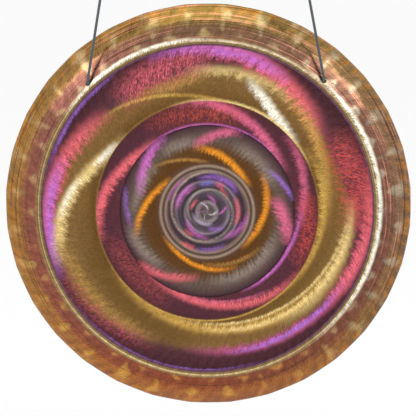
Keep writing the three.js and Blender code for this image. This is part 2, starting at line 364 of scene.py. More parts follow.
section = with_thickness(plate_section(), SHEET)
mesh = bpy.data.meshes.new("gong")
mesh.from_pydata([(p.x, p.y, 0) for p in section], [(i, i + 1) for i in range(len(section) - 1)], [])
gong = mesh_object("gong", mesh)

spun = bpy.data.node_groups.new("spun_and_hammered_plate", "GeometryNodeTree")
for label, kind, value in (
    ("Section", "NodeSocketGeometry", None),
    ("Section points", "NodeSocketInt", len(section)),
    ("Segments", "NodeSocketInt", 384),
    ("Blow depth", "NodeSocketFloat", 2.2 * mm),
    ("Hole radius", "NodeSocketFloat", 4.0 * mm),
    ("Material", "NodeSocketMaterial", None),
):
    socket = spun.interface.new_socket(name=label, in_out="INPUT", socket_type=kind)
    if value is not None:
        socket.default_value = value
spun.interface.new_socket(name="Plate", in_out="OUTPUT", socket_type="NodeSocketGeometry")

BLOWS = 32
BLOW_ROWS = ((0.352, 0.0), (0.388, 0.5))
BLOW_REACH = 0.036


def blow_height(tree, radius, turn):
    """Height of the hammered rim, 0 in the middle of a blow and 1 at the far corners.
    The blows sit in two staggered rows, and the nearer row wins."""
    heights = []
    for row_radius, stagger in BLOW_ROWS:
        count = add(tree, "ShaderNodeMath", {
            0: turn, 1: float(BLOWS), 2: stagger}, operation="MULTIPLY_ADD")
        cell = add(tree, "ShaderNodeMath", {0: count}, operation="FRACT")
        across = add(tree, "ShaderNodeMath", {0: cell, 1: 0.5}, operation="SUBTRACT")
        out = add(tree, "ShaderNodeMath", {0: radius, 1: row_radius}, operation="SUBTRACT")
        out = add(tree, "ShaderNodeMath", {0: out, 1: BLOW_REACH}, operation="DIVIDE")
        across_square = add(tree, "ShaderNodeMath", {0: across, 1: across}, operation="MULTIPLY")
        heights.append(add(tree, "ShaderNodeMath", {
            0: out, 1: out, 2: across_square}, operation="MULTIPLY_ADD"))
    nearer = add(tree, "ShaderNodeMath", {0: heights[0], 1: heights[1]}, operation="MINIMUM")
    return add(tree, "ShaderNodeMath", {0: nearer, 1: 2.0}, operation="MULTIPLY")


given = add(spun, "NodeGroupInput").outputs
columns = add(spun, "ShaderNodeMath", {0: given["Segments"], 1: 1.0}, operation="ADD")
grid = add(spun, "GeometryNodeMeshGrid", {
    "Size X": 1.0, "Size Y": 1.0, "Vertices X": columns, "Vertices Y": given["Section points"]})
index = add(spun, "GeometryNodeInputIndex")
column = add(spun, "ShaderNodeMath", {0: index, 1: given["Section points"]}, operation="DIVIDE")
column = add(spun, "ShaderNodeMath", {0: column}, operation="FLOOR")
row = add(spun, "ShaderNodeMath", {0: index, 1: given["Section points"]}, operation="MODULO")
position = add(spun, "GeometryNodeInputPosition")
on_section = add(spun, "GeometryNodeSampleIndex", {
    "Geometry": given["Section"], "Value": position, "Index": row}, data_type="FLOAT_VECTOR", domain="POINT")
place = add(spun, "ShaderNodeSeparateXYZ", {0: on_section})
turn = add(spun, "ShaderNodeMath", {0: column, 1: given["Segments"]}, operation="DIVIDE")
angle = add(spun, "ShaderNodeMath", {0: turn, 1: 2 * pi}, operation="MULTIPLY")
cosine = add(spun, "ShaderNodeMath", {0: angle}, operation="COSINE")
sine = add(spun, "ShaderNodeMath", {0: angle}, operation="SINE")
height = blow_height(spun, place.outputs["X"], turn)
on_rim = add(spun, "ShaderNodeMapRange", {
    0: place.outputs["X"], 1: 0.329, 2: 0.340}, interpolation_type="SMOOTHSTEP")
push = add(spun, "ShaderNodeMath", {0: 1.0, 1: height}, operation="SUBTRACT")
push = add(spun, "ShaderNodeMath", {0: push, 1: on_rim}, operation="MULTIPLY")
push = add(spun, "ShaderNodeMath", {0: push, 1: given["Blow depth"]}, operation="MULTIPLY")
lean = add(spun, "ShaderNodeMapRange", {0: place.outputs["X"], 1: 0.328, 2: 0.400, 3: 0.2, 4: 0.8})
inward = add(spun, "ShaderNodeMath", {0: push, 1: lean}, operation="MULTIPLY")
radius = add(spun, "ShaderNodeMath", {0: place.outputs["X"], 1: inward}, operation="SUBTRACT")
backward = add(spun, "ShaderNodeMath", {0: 1.0, 1: lean}, operation="SUBTRACT")
depth = add(spun, "ShaderNodeMath", {0: push, 1: backward, 2: place.outputs["Y"]}, operation="MULTIPLY_ADD")
x = add(spun, "ShaderNodeMath", {0: radius, 1: cosine}, operation="MULTIPLY")
z = add(spun, "ShaderNodeMath", {0: radius, 1: sine}, operation="MULTIPLY")
spot = add(spun, "ShaderNodeCombineXYZ", {0: x, 1: depth, 2: z})
front = add(spun, "ShaderNodeMath", {0: row, 1: given["Section points"]}, operation="DIVIDE")
front = add(spun, "ShaderNodeMath", {0: front, 1: 0.5}, operation="LESS_THAN")
formed = add(spun, "GeometryNodeSetPosition", {"Geometry": grid, "Position": spot})
marked = add(spun, "GeometryNodeStoreNamedAttribute", {
    "Geometry": formed, "Name": "front", "Value": front}, data_type="FLOAT", domain="POINT")
closed = add(spun, "GeometryNodeMergeByDistance", {"Geometry": marked, "Distance": 0.01 * mm})
drills = add(spun, "GeometryNodeJoinGeometry")
for word, side in SIDES:
    axis = hole_axis(side)
    drill = add(spun, "GeometryNodeMeshCylinder", {
        "Vertices": 32, "Radius": given["Hole radius"], "Depth": 16 * mm})
    drill = add(spun, "GeometryNodeTransform", {
        "Geometry": drill,
        "Translation": Vector((side * BEND_OFFSET, 0, 0)) - PLATE_CENTRE + axis * 6.3 * mm,
        "Rotation": axis.to_track_quat("Z", "X").to_euler(),
    })
    spun.links.new(drill.outputs[0], drills.inputs[0])
drilled = add(spun, "GeometryNodeMeshBoolean", {"Mesh 1": closed, "Mesh 2": drills}, operation="DIFFERENCE")
soft = add(spun, "GeometryNodeSetShadeSmooth", {"Geometry": drilled.outputs["Mesh"]})
single = add(spun, "GeometryNodeRealizeInstances", {"Geometry": soft})
dressed = add(spun, "GeometryNodeSetMaterial", {"Geometry": single, "Material": given["Material"]})
add(spun, "NodeGroupOutput", {"Plate": dressed})

# Bronze, skimmed on a lathe, brushed and heat tinted: satin metal under thin oxide colours, with a brighter
# rim.
# Much of its light and shade is painted into the colour: highlight streaks swirling across the bands, lines
# at the creases and the shoulder, and glints and shade on the rim's facets. Its patterns are laid out round
# the plate's own centre.
heat_tinted_bronze_with_painted_light = bpy.data.materials.new("lathe_brushed_bronze_with_heat_tint_and_painted_light")
heat_tinted_bronze_with_painted_light.use_nodes = True
tree = heat_tinted_bronze_with_painted_light.node_tree
shader = tree.nodes["Principled BSDF"]
plate_middle = joint_at["gong_tilt"] + Euler((-HANG_TILT, 0, 0)).to_matrix() @ PLATE_CENTRE
on_plate = add(tree, "ShaderNodeMapping", {
    "Vector": add(tree, "ShaderNodeTexCoord").outputs["Object"],
    "Location": plate_middle,
    "Rotation": (-HANG_TILT, 0, 0),
}, vector_type="TEXTURE")
place = add(tree, "ShaderNodeSeparateXYZ", {0: on_plate})
flat = add(tree, "ShaderNodeVectorMath", {0: on_plate, 1: (1, 0, 1)}, operation="MULTIPLY")
radius = add(tree, "ShaderNodeVectorMath", {0: flat}, operation="LENGTH").outputs["Value"]
angle = add(tree, "ShaderNodeMath", {0: place.outputs["Z"], 1: place.outputs["X"]}, operation="ARCTAN2")
turn = add(tree, "ShaderNodeMath", {0: angle, 1: 2 * pi}, operation="DIVIDE")
turn = add(tree, "ShaderNodeMath", {0: turn, 1: 1.0, 2: 0.0}, operation="WRAP")

# Brush strokes: fine scratches combed almost radially, and feather ribs, both slanted with the radius.
# The real scratches are well under 1 mm and too fine to show, so these are about 2 mm apart halfway
# out, and the lathe lines about 2.4 mm apart. The mottled stains come from blotches of about 8 mm.
RIBS = 96.0
RIB_SLANT = 26.0
STROKE_SLANT = 1.6
LATHE_LINES = 260.0
slant = add(tree, "ShaderNodeMath", {0: radius, 1: STROKE_SLANT}, operation="MULTIPLY")
stroke_angle = add(tree, "ShaderNodeMath", {0: angle, 1: slant}, operation="ADD")
stroke_x = add(tree, "ShaderNodeMath", {0: stroke_angle}, operation="COSINE")
stroke_y = add(tree, "ShaderNodeMath", {0: stroke_angle}, operation="SINE")
stroke_place = add(tree, "ShaderNodeCombineXYZ", {
    0: stroke_x,
    1: stroke_y,
    2: add(tree, "ShaderNodeMath", {0: radius, 1: 1.2}, operation="MULTIPLY"),
})
strokes = add(tree, "ShaderNodeTexNoise", {
    "Vector": stroke_place, "Scale": 135.0, "Detail": 3.0, "Roughness": 0.7})
tufts = add(tree, "ShaderNodeTexNoise", {"Vector": stroke_place, "Scale": 22.0, "Detail": 2.0})
rib_count = add(tree, "ShaderNodeMath", {
    0: turn,
    1: RIBS,
    2: add(tree, "ShaderNodeMath", {0: radius, 1: RIB_SLANT}, operation="MULTIPLY"),
}, operation="MULTIPLY_ADD")
rib_wave = add(tree, "ShaderNodeMath", {
    0: add(tree, "ShaderNodeMath", {0: rib_count, 1: 2 * pi}, operation="MULTIPLY"),
}, operation="SINE")
scratch = add(tree, "ShaderNodeMath", {0: strokes, 1: 2.0, 2: -1.0}, operation="MULTIPLY_ADD")
ragged = add(tree, "ShaderNodeMath", {
    0: scratch,
    1: add(tree, "ShaderNodeMath", {0: tufts, 1: 1.3, 2: -0.65}, operation="MULTIPLY_ADD"),
}, operation="ADD")
feather = add(tree, "ShaderNodeMath", {0: rib_wave, 1: 0.2, 2: scratch}, operation="MULTIPLY_ADD")
mottle = add(tree, "ShaderNodeTexNoise", {
    "Vector": on_plate, "Scale": 130.0, "Detail": 4.0, "Roughness": 0.7})
share_out = add(tree, "ShaderNodeMath", {0: radius, 1: GONG_RADIUS}, operation="DIVIDE")
combed = add(tree, "ShaderNodeMath", {0: feather, 1: 0.03, 2: share_out}, operation="MULTIPLY_ADD")
combed_turn = add(tree, "ShaderNodeMath", {0: scratch, 1: 0.004, 2: turn}, operation="MULTIPLY_ADD")
lathe_place = add(tree, "ShaderNodeCombineXYZ", {
    0: add(tree, "ShaderNodeMath", {0: angle}, operation="COSINE"),
    1: add(tree, "ShaderNodeMath", {0: angle}, operation="SINE"),
    2: add(tree, "ShaderNodeMath", {0: radius, 1: LATHE_LINES}, operation="MULTIPLY"),
})
lathe = add(tree, "ShaderNodeTexNoise", {
    "Vector": lathe_place, "Scale": 1.6, "Detail": 3.0, "Roughness": 0.6})

# The plain bands, from the boss out to the shoulder, with thin light and dark rings at the creases as painted
# highlights and painted shade.
colour = add(tree, "ShaderNodeValToRGB", {0: share_out}, stops=[
    (0.0, "#6f625e"), (0.03, "#57494c"), (0.05, "#8d7f80"), (0.062, "#43373e"), (0.095, "#5b4e58"),
    (0.105, "#8a7a84"), (0.117, "#3e333b"), (0.144, "#584b55"), (0.152, "#83747c"), (0.162, "#3b3038"),
    (0.185, "#4a3a42"), (0.203, "#8f7768"), (0.213, "#3a2b28"), (0.226, "#a28a78"), (0.236, "#5d4334"),
    (0.26, "#5c3b1e"), (0.31, "#5f4228"), (0.35, "#64544a"), (0.385, "#5e4b46"), (0.415, "#4b353a"),
    (0.4235, "#2c1e22"), (0.4265, "#5a333b"), (0.5, "#54303a"), (0.537, "#4f3032"), (0.5395, "#8c6b3c"),
    (0.548, "#6a4c28"), (0.6, "#7b5b34"), (0.7, "#806139"), (0.95, "#806139"),
]).outputs[0]
plum = add(tree, "ShaderNodeValToRGB", {0: share_out}, stops=[
    (0.66, "#5a3a40"), (0.76, "#4c2d33"), (0.803, "#462a30"),
]).outputs[0]
gold_edge = add(tree, "ShaderNodeFloatCurve", {1: turn})
gold_edge_line = gold_edge.mapping.curves[0].points
GOLD_EDGE = (
    (0.0, 0.69), (0.08, 0.655), (0.13, 0.70), (0.2, 0.71), (0.28, 0.67), (0.34, 0.66), (0.4, 0.685),
    (0.48, 0.72), (0.55, 0.755), (0.6, 0.755), (0.66, 0.71), (0.75, 0.69), (0.83, 0.70), (0.94, 0.72),
    (1.0, 0.69),
)
for _ in GOLD_EDGE[2:]:
    gold_edge_line.new(0.5, 0.5)
for point, (x, y) in zip(gold_edge_line, GOLD_EDGE):
    point.location = (x, y)
gold_edge.mapping.update()
beyond_gold = add(tree, "ShaderNodeMapRange", {
    0: add(tree, "ShaderNodeMath", {0: combed, 1: gold_edge}, operation="SUBTRACT"),
    1: -0.012,
    2: 0.022,
}, interpolation_type="SMOOTHSTEP")
colour = add(tree, "ShaderNodeMix", {0: beyond_gold, 6: colour, 7: plum}, data_type="RGBA").outputs[2]

# Where each band lies, as parts of the gong's radius, so that no streak runs over a crease.
BAND_EDGE = 0.003
BANDS = {
    "boss": (0.0, 0.2), "amber": (0.238, 0.4225), "maroon": (0.4255, 0.5385), "gold": (0.541, 0.803),
    "rim": (0.822, 1.0),
}
inside = {}
for name, (inner, outer) in BANDS.items():
    inside[name] = add(tree, "ShaderNodeMath", {
        0: add(tree, "ShaderNodeMapRange", {
            0: share_out, 1: inner - BAND_EDGE, 2: inner}, interpolation_type="SMOOTHSTEP"),
        1: add(tree, "ShaderNodeMapRange", {
            0: share_out, 1: outer + BAND_EDGE, 2: outer}, interpolation_type="SMOOTHSTEP"),
    }, operation="MULTIPLY")
grain = add(tree, "ShaderNodeMapRange", {
    0: add(tree, "ShaderNodeMath", {
        0: strokes,
        1: 0.7,
        2: add(tree, "ShaderNodeMath", {0: mottle, 1: 0.4}, operation="MULTIPLY"),
    }, operation="MULTIPLY_ADD"),
    1: 0.42,
    2: 0.68,
}, interpolation_type="SMOOTHSTEP")
grains = {}
for name in ("gold", "maroon"):
    grains[name] = add(tree, "ShaderNodeMath", {0: inside[name], 1: grain}, operation="MULTIPLY")

# One streak of colour, as a group, since some ninety are laid over each other: most are painted highlights
# and painted shade in the heat colours, and a few are heat stains. Its body reaches STREAK_REACH times its
# width to each side, and END_FADE sets how soon it is full from either end.
STREAK_REACH = 1.7
END_FADE = 4.8
RIB_SHARE = 0.22
tint_and_highlight_streak = bpy.data.node_groups.new("tint_and_highlight_streak", "ShaderNodeTree")
for label, kind in (
    ("Under", "NodeSocketColor"), ("Turn", "NodeSocketFloat"), ("Out", "NodeSocketFloat"),
    ("Scratch", "NodeSocketFloat"), ("Ribs", "NodeSocketFloat"), ("Inside", "NodeSocketFloat"),
    ("Strength", "NodeSocketFloat"), ("First turn", "NodeSocketFloat"), ("Turns", "NodeSocketFloat"),
    ("Start out", "NodeSocketFloat"), ("Bend", "NodeSocketVector"), ("Width", "NodeSocketFloat"),
    ("Rib share", "NodeSocketFloat"), ("Tint", "NodeSocketColor"),
):
    tint_and_highlight_streak.interface.new_socket(name=label, in_out="INPUT", socket_type=kind)
tint_and_highlight_streak.interface.new_socket(name="Colour", in_out="OUTPUT", socket_type="NodeSocketColor")
given = add(tint_and_highlight_streak, "NodeGroupInput").outputs
run = add(tint_and_highlight_streak, "ShaderNodeMath", {0: given["Turn"], 1: given["First turn"]}, operation="SUBTRACT")
run = add(tint_and_highlight_streak, "ShaderNodeMath", {0: run, 1: 1.0, 2: 0.0}, operation="WRAP")
run = add(tint_and_highlight_streak, "ShaderNodeMapRange", {0: run, 1: 0.0, 2: given["Turns"]})
bend = add(tint_and_highlight_streak, "ShaderNodeSeparateXYZ", {0: given["Bend"]}).outputs
line = add(tint_and_highlight_streak, "ShaderNodeMath", {0: run, 1: bend["Z"], 2: bend["Y"]}, operation="MULTIPLY_ADD")
line = add(tint_and_highlight_streak, "ShaderNodeMath", {0: run, 1: line, 2: bend["X"]}, operation="MULTIPLY_ADD")
line = add(tint_and_highlight_streak, "ShaderNodeMath", {0: run, 1: line, 2: given["Start out"]}, operation="MULTIPLY_ADD")
shift = add(tint_and_highlight_streak, "ShaderNodeMath", {
    0: given["Ribs"], 1: given["Rib share"], 2: given["Scratch"]}, operation="MULTIPLY_ADD")
off = add(tint_and_highlight_streak, "ShaderNodeMath", {0: given["Out"], 1: line}, operation="SUBTRACT")
off = add(tint_and_highlight_streak, "ShaderNodeMath", {0: off, 1: given["Width"]}, operation="DIVIDE")
off = add(tint_and_highlight_streak, "ShaderNodeMath", {0: off, 1: shift}, operation="ADD")
off = add(tint_and_highlight_streak, "ShaderNodeMath", {0: off}, operation="ABSOLUTE")
body = add(tint_and_highlight_streak, "ShaderNodeMapRange", {
    0: off, 1: STREAK_REACH, 2: 0.0}, interpolation_type="SMOOTHSTEP")
left = add(tint_and_highlight_streak, "ShaderNodeMath", {0: 1.0, 1: run}, operation="SUBTRACT")
fade = add(tint_and_highlight_streak, "ShaderNodeMath", {0: run, 1: left}, operation="MULTIPLY")
fade = add(tint_and_highlight_streak, "ShaderNodeMath", {0: fade, 1: END_FADE}, operation="MULTIPLY")
fade = add(tint_and_highlight_streak, "ShaderNodeMath", {0: fade, 1: 1.0}, operation="MINIMUM")
weight = add(tint_and_highlight_streak, "ShaderNodeMath", {0: body, 1: fade}, operation="MULTIPLY")
weight = add(tint_and_highlight_streak, "ShaderNodeMath", {0: weight, 1: given["Inside"]}, operation="MULTIPLY")
weight = add(tint_and_highlight_streak, "ShaderNodeMath", {0: weight, 1: given["Strength"]}, operation="MULTIPLY")
weight = add(tint_and_highlight_streak, "ShaderNodeMath", {
    0: weight, 1: given["Scratch"], 2: weight}, operation="MULTIPLY_ADD")
laid = add(tint_and_highlight_streak, "ShaderNodeMix", {
    0: weight, 6: given["Under"], 7: given["Tint"]}, data_type="RGBA").outputs[2]
add(tint_and_highlight_streak, "NodeGroupOutput", {"Colour": laid})


def at_share(points, share):
    """The radius at a share of the way along (degrees, millimetres) points, as a part of the gong's."""
    angle_there = points[0][0] + share * (points[-1][0] - points[0][0])
    for (a, low), (b, high) in zip(points, points[1:]):
        if angle_there <= b or b == points[-1][0]:
            return (low + (high - low) * (angle_there - a) / (b - a)) * mm / GONG_RADIUS


def streak(under, band, points, width, strength, tint, rib=0.3, grain=False):
    """Lays a streak along (degrees, millimetres) points, anticlockwise, on the cubic that passes
    through them at its ends and at each third of the way."""
    first, last = points[0][0], points[-1][0]
    r0, r1, r2, r3 = (at_share(points, k / 3) for k in range(4))
    bend = Vector((
        -5.5 * r0 + 9 * r1 - 4.5 * r2 + r3,
        9 * r0 - 22.5 * r1 + 18 * r2 - 4.5 * r3,
        -4.5 * r0 + 13.5 * r1 - 13.5 * r2 + 4.5 * r3,
    ))
    return add(tree, "ShaderNodeGroup", {
        "Under": under, "Turn": combed_turn, "Out": share_out, "Scratch": ragged, "Ribs": rib_wave,
        "Inside": grains[band] if grain else inside[band], "Strength": strength,
        "First turn": first / 360, "Turns": (last - first) / 360,
        "Start out": r0, "Bend": bend, "Width": width * mm / GONG_RADIUS, "Rib share": rib * RIB_SHARE,
        "Tint": linear(tint),
    }, node_tree=tint_and_highlight_streak).outputs[0]


# Streak colours. The near white one is used only for painted highlights, and the darkest only for painted
# shade along the boss's ridges.
CORAL, ROSE, ORCHID, VIOLET, INDIGO = "#e06a72", "#dc6a8c", "#cf6fc0", "#a572d2", "#8478d8"
GOLD, PALE_GOLD, HIGHLIGHT_WHITE, AMBER, PEARL = "#c9a052", "#e6c987", "#fff8e2", "#e6922e", "#a8998e"
RED, RIDGE_SHADE = "#c8504a", "#33262a"
OUTER_RIDGE = [(12, 88), (60, 84), (120, 75), (180, 69), (258, 59), (300, 54), (350, 48)]
INNER_RIDGE = [(-60, 55), (-10, 49), (40, 47), (80, 45), (130, 42), (190, 37), (235, 30)]
for row in (
    # Rose and violet beyond the gold: painted highlights, with duller rose and brown streaks among them.
    ("gold", [(30, 262), (50, 281), (65, 299), (80, 312), (100, 319)], 17, 0.9, CORAL),
    ("gold", [(56, 294), (80, 313), (112, 318)], 11, 0.75, "#bf6fcc"),
    ("gold", [(122, 320), (150, 318), (165, 319)], 4, 0.5, VIOLET),
    ("gold", [(132, 270), (148, 284), (163, 298), (178, 309), (200, 315)], 15, 0.9, CORAL),
    ("gold", [(158, 297), (180, 310), (206, 315)], 10, 0.8, "#b86fcc"),
    ("gold", [(215, 319), (245, 320), (290, 318)], 2, 0.35, VIOLET),
    ("gold", [(258, 278), (280, 284), (300, 291), (325, 300), (350, 313), (370, 318)], 9, 0.8, "#c8608a"),
    ("gold", [(276, 286), (305, 292), (335, 302)], 5, 0.7, VIOLET),
    ("gold", [(320, 297), (345, 310), (376, 319)], 12, 0.85, CORAL),
    ("gold", [(-14, 300), (10, 300), (32, 284)], 22, 0.5, "#a8505c"),
    ("gold", [(84, 298), (106, 290), (132, 276)], 20, 0.5, "#9a4a5a"),
    ("gold", [(194, 304), (225, 288), (266, 270)], 15, 0.6, "#5c4030"),
    # Painted highlights on the gold.
    ("gold", [(-15, 222), (8, 232), (25, 247), (45, 263), (62, 272)], 11, 0.6, GOLD),
    ("gold", [(50, 266), (72, 276), (100, 273)], 10, 0.55, PALE_GOLD),
    ("gold", [(36, 216), (50, 222), (58, 234), (65, 250), (74, 268)], 10, 1.0, HIGHLIGHT_WHITE),
    ("gold", [(22, 216), (45, 218), (66, 216), (110, 217)], 4, 0.9, PALE_GOLD),
    ("gold", [(75, 217), (98, 228), (112, 241), (125, 261), (139, 273)], 3.5, 0.75, GOLD),
    ("gold", [(88, 262), (108, 252), (120, 262)], 9, 0.35, GOLD),
    ("gold", [(134, 216), (150, 224), (163, 244), (172, 268), (184, 288), (202, 303)], 12, 0.95, PALE_GOLD),
    ("gold", [(141, 218), (152, 228), (158, 238)], 6, 0.9, HIGHLIGHT_WHITE),
    ("gold", [(164, 252), (173, 272), (183, 288)], 7, 0.6, HIGHLIGHT_WHITE),
    ("gold", [(186, 290), (210, 285), (250, 274)], 12, 0.35, GOLD),
    ("gold", [(208, 218), (240, 223), (268, 234), (300, 251), (330, 266), (362, 283)], 10, 0.85, GOLD),
    ("gold", [(262, 232), (300, 252), (330, 268), (366, 284)], 5, 0.8, PALE_GOLD),
    ("gold", [(300, 262), (330, 274), (366, 279)], 10, 0.55, PALE_GOLD),
    ("gold", [(255, 221), (285, 230), (312, 243), (336, 260), (358, 274)], 3, 0.7, PALE_GOLD),
    ("gold", [(205, 217), (240, 218), (300, 217), (345, 219)], 2.5, 0.7, GOLD),
    ("gold", [(310, 217), (340, 222), (370, 228), (395, 226)], 6, 0.7, GOLD),
    # Painted shade on the gold: darker brown between the highlights.
    ("gold", [(110, 226), (160, 222), (215, 226), (250, 240)], 9, 0.3, "#5b4120"),
    ("gold", [(176, 244), (205, 244), (240, 252), (275, 262)], 16, 0.6, "#654a24"),
    ("gold", [(74, 240), (90, 238), (112, 226)], 10, 0.4, "#6e5228"),
    ("gold", [(285, 226), (315, 232), (345, 244), (372, 258)], 7, 0.5, "#6e5228"),
    # Painted highlights in rose on the maroon.
    ("maroon", [(-12, 181), (8, 190), (25, 202), (46, 213)], 8, 0.65, ROSE),
    ("maroon", [(25, 170), (48, 179), (66, 192), (82, 207), (108, 215)], 9, 0.9, ROSE),
    ("maroon", [(28, 169), (70, 171), (140, 171)], 2.5, 0.55, ORCHID),
    ("maroon", [(122, 170), (142, 175), (158, 190), (172, 205), (198, 215)], 10, 0.95, CORAL),
    ("maroon", [(222, 170), (250, 173), (274, 184), (298, 203), (330, 215)], 8, 0.9, CORAL),
    ("maroon", [(250, 172), (285, 184), (310, 198)], 3, 0.5, ROSE),
    ("maroon", [(290, 170), (335, 174), (362, 184)], 4, 0.75, ORCHID),
    # Painted highlights in rose and violet, running the other way, inside the maroon.
    ("amber", [(-25, 169), (-10, 156), (2, 142), (14, 131)], 13, 0.85, ROSE),
    ("amber", [(6, 169), (22, 156), (36, 141)], 5, 0.6, VIOLET),
    ("amber", [(64, 169), (78, 158), (90, 143), (104, 130)], 9, 0.8, ROSE),
    ("amber", [(116, 169), (138, 155), (152, 143), (168, 132)], 9, 0.8, ORCHID),
    ("amber", [(160, 166), (178, 157), (192, 150)], 5, 0.4, VIOLET),
    ("amber", [(214, 168), (230, 158), (246, 143), (264, 129)], 8, 0.75, CORAL),
    # Painted highlights in amber round the boss.
    ("amber", [(-50, 96), (-20, 103), (4, 115), (20, 122), (38, 130)], 6, 0.9, AMBER),
    ("amber", [(28, 96), (52, 101), (72, 112), (88, 121), (102, 128)], 6.5, 0.95, AMBER),
    ("amber", [(85, 97), (106, 106), (122, 119), (142, 137)], 3.5, 0.6, "#b98a4a"),
    ("amber", [(134, 96), (156, 105), (172, 119), (184, 132), (202, 147)], 6.5, 0.9, AMBER),
    ("amber", [(206, 97), (244, 102), (270, 113), (300, 122)], 4.5, 0.9, AMBER),
    ("amber", [(262, 101), (296, 112), (328, 126)], 4, 0.5, "#b98a4a"),
    # Pearl grey feathers between the amber and the rose.
    ("amber", [(18, 138), (45, 140), (70, 138)], 11, 0.36, PEARL, 0.6),
    ("amber", [(96, 140), (112, 143), (128, 142)], 10, 0.34, PEARL, 0.6),
    ("amber", [(134, 136), (160, 134), (182, 146)], 9, 0.34, PEARL, 0.6),
    ("amber", [(188, 154), (206, 150), (232, 138)], 10, 0.4, PEARL, 0.6),
    ("amber", [(268, 136), (300, 141), (345, 141)], 10, 0.42, PEARL, 0.6),
    # Red heat stains.
    ("gold", [(-10, 292), (12, 294), (34, 282)], 30, 0.8, RED, 0.0, True),
    ("gold", [(86, 294), (108, 288), (130, 276)], 26, 0.75, CORAL, 0.0, True),
    ("gold", [(196, 312), (220, 302), (250, 290)], 16, 0.35, CORAL, 0.0, True),
    ("maroon", [(62, 202), (92, 192), (128, 204)], 18, 0.7, "#b5503e", 0.0, True),
    ("maroon", [(190, 198), (220, 188), (250, 196)], 20, 0.6, "#a8504a", 0.0, True),
    ("maroon", [(326, 200), (350, 203), (374, 194)], 16, 0.8, RED, 0.0, True),
    # The boss: a pearl ridge that winds inwards, drawn as a painted highlight with painted shade to each
    # side, and painted highlights in violet, rose and pale pearl in its valleys and round the centre.
    ("boss", [(118, 77), (140, 79), (166, 79)], 5.9, 0.59, ORCHID, 0.0),
    ("boss", [(226, 82), (238, 79), (252, 76)], 5.9, 0.59, CORAL, 0.0),
    ("boss", [(250, 77), (275, 75), (300, 72)], 4.8, 0.33, VIOLET, 0.0),
    ("boss", [(298, 60), (324, 67), (346, 77), (362, 80)], 5.9, 0.52, ORCHID, 0.0),
    ("boss", [(28, 66), (50, 72), (76, 71), (108, 70)], 5.9, 0.56, VIOLET, 0.0),
    ("boss", [(110, 59), (132, 58), (150, 60), (178, 62)], 5.9, 0.56, ORCHID, 0.0),
    ("boss", [(214, 59), (228, 56), (242, 53)], 4.8, 0.56, CORAL, 0.0),
    ("boss", [(196, 42), (214, 44), (240, 48), (276, 52)], 4.2, 0.59, ORCHID, 0.0),
    ("boss", [(54, 60), (64, 59), (76, 58)], 4.8, 0.52, ROSE, 0.0),
    ("boss", [(72, 57), (88, 57), (106, 55)], 4.8, 0.46, INDIGO, 0.0),
    ("boss", [(28, 47), (48, 50), (66, 53)], 4.2, 0.59, CORAL, 0.0),
    ("boss", [(-28, 57), (-8, 60), (14, 60), (30, 62)], 5.3, 0.59, CORAL, 0.0),
    ("boss", [(270, 32), (296, 38), (320, 44)], 4.8, 0.46, VIOLET, 0.0),
    ("boss", OUTER_RIDGE, 6.6, 0.6, RIDGE_SHADE, 0.0),
    ("boss", OUTER_RIDGE, 2.8, 0.6, "#b8a294", 0.0),
    ("boss", INNER_RIDGE, 6, 0.6, RIDGE_SHADE, 0.0),
    ("boss", INNER_RIDGE, 2.8, 0.6, "#a89c94", 0.0),
    ("boss", [(120, 30), (150, 31), (176, 33)], 2.8, 0.59, CORAL, 0.0),
    ("boss", [(40, 22), (64, 27), (92, 33)], 3, 0.59, ORCHID, 0.0),
    ("boss", [(-14, 22), (2, 30), (20, 41)], 3, 0.59, ORCHID, 0.0),
    ("boss", [(180, 27), (230, 25), (300, 25)], 3.4, 0.52, "#c8b8cc", 0.0),
    ("boss", [(60, 3), (100, 12), (130, 24)], 2.8, 0.59, "#e0d0e0", 0.0),
    ("boss", [(150, 3), (170, 10), (190, 20)], 2.4, 0.46, ORCHID, 0.0),
    ("boss", [(220, 3), (235, 9), (255, 16)], 2.4, 0.46, "#e0d0e0", 0.0),
    ("boss", [(300, 3), (330, 10), (372, 20)], 2.8, 0.52, "#e0dce8", 0.0),
):
    colour = streak(colour, *row)

# The strokes and ribs themselves, lighter and darker than the metal round them.
rib_zone = add(tree, "ShaderNodeMath", {
    0: add(tree, "ShaderNodeMapRange", {0: share_out, 1: 0.62, 2: 0.69}, interpolation_type="SMOOTHSTEP"),
    1: add(tree, "ShaderNodeMapRange", {0: share_out, 1: 0.41, 2: 0.36}, interpolation_type="SMOOTHSTEP"),
}, operation="ADD")
rib_zone = add(tree, "ShaderNodeMath", {
    0: rib_zone,
    1: add(tree, "ShaderNodeMapRange", {0: share_out, 1: 0.27, 2: 0.33}, interpolation_type="SMOOTHSTEP"),
}, operation="MULTIPLY")
rib_light = add(tree, "ShaderNodeMath", {
    0: add(tree, "ShaderNodeMath", {0: rib_wave, 1: rib_zone}, operation="MULTIPLY"),
    1: 0.09,
}, operation="MULTIPLY")
light = add(tree, "ShaderNodeMath", {
    0: add(tree, "ShaderNodeMath", {0: scratch, 1: 0.85, 2: 1.06}, operation="MULTIPLY_ADD"),
    1: rib_light,
}, operation="ADD")
light = add(tree, "ShaderNodeMath", {
    0: light,
    1: add(tree, "ShaderNodeMath", {0: lathe, 1: 0.3, 2: -0.15}, operation="MULTIPLY_ADD"),
}, operation="ADD")
boss_rings = add(tree, "ShaderNodeMath", {
    0: inside["boss"],
    1: add(tree, "ShaderNodeMath", {0: lathe, 1: 1.6, 2: -0.8}, operation="MULTIPLY_ADD"),
}, operation="MULTIPLY")
light = add(tree, "ShaderNodeMath", {0: light, 1: boss_rings}, operation="ADD")

